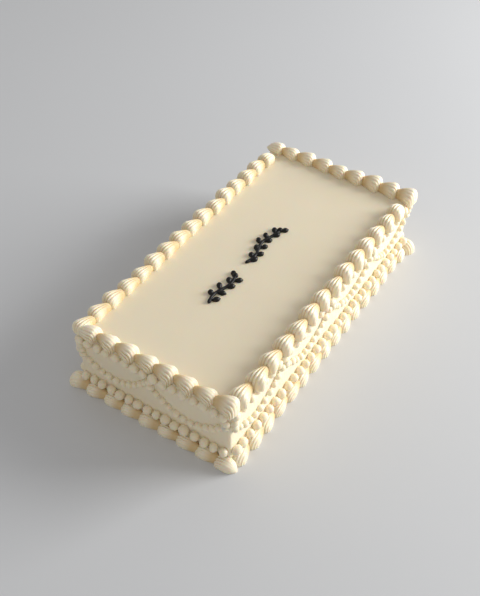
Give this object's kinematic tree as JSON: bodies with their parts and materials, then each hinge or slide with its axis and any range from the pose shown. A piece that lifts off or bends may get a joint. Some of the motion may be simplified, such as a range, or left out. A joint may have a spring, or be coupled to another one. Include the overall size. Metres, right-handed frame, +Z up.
{
  "type": "rectangular wedding cake",
  "caption": "Rectangular cake iced smooth in ivory buttercream, with piped shell borders round its top and foot, bead swags on its sides and black piped sprigs on top.",
  "frame": {"origin": "on the ground under the middle of the whole cake", "axes": "+X along the cake's length, from the end nearest the camera to the far one; -Y the front, the side the ornament on top is read from; +Z up"},
  "size_m": [0.3362, 0.18, 0.0776],
  "materials": {
    "smooth_buttercream": "smoothed ivory buttercream, satin, with faint marks of the icing smoother",
    "piped_buttercream": "ivory buttercream piped through a fine star nozzle, ribbed, deeper in colour in its grooves",
    "black_icing": "black icing piped through a small round nozzle, glossy"
  },
  "bodies": {
    "root": {"iced_block": "smooth_buttercream", "top_border_left_end": "piped_buttercream", "top_border_right_end": "piped_buttercream", "top_border_front": "piped_buttercream", "top_border_back": "piped_buttercream", "foot_border_left_end": "piped_buttercream", "foot_border_right_end": "piped_buttercream", "foot_border_front": "piped_buttercream", "foot_border_back": "piped_buttercream", "black_sprig_short": "black_icing", "black_sprig_long": "black_icing"}
  },
  "joints": []
}
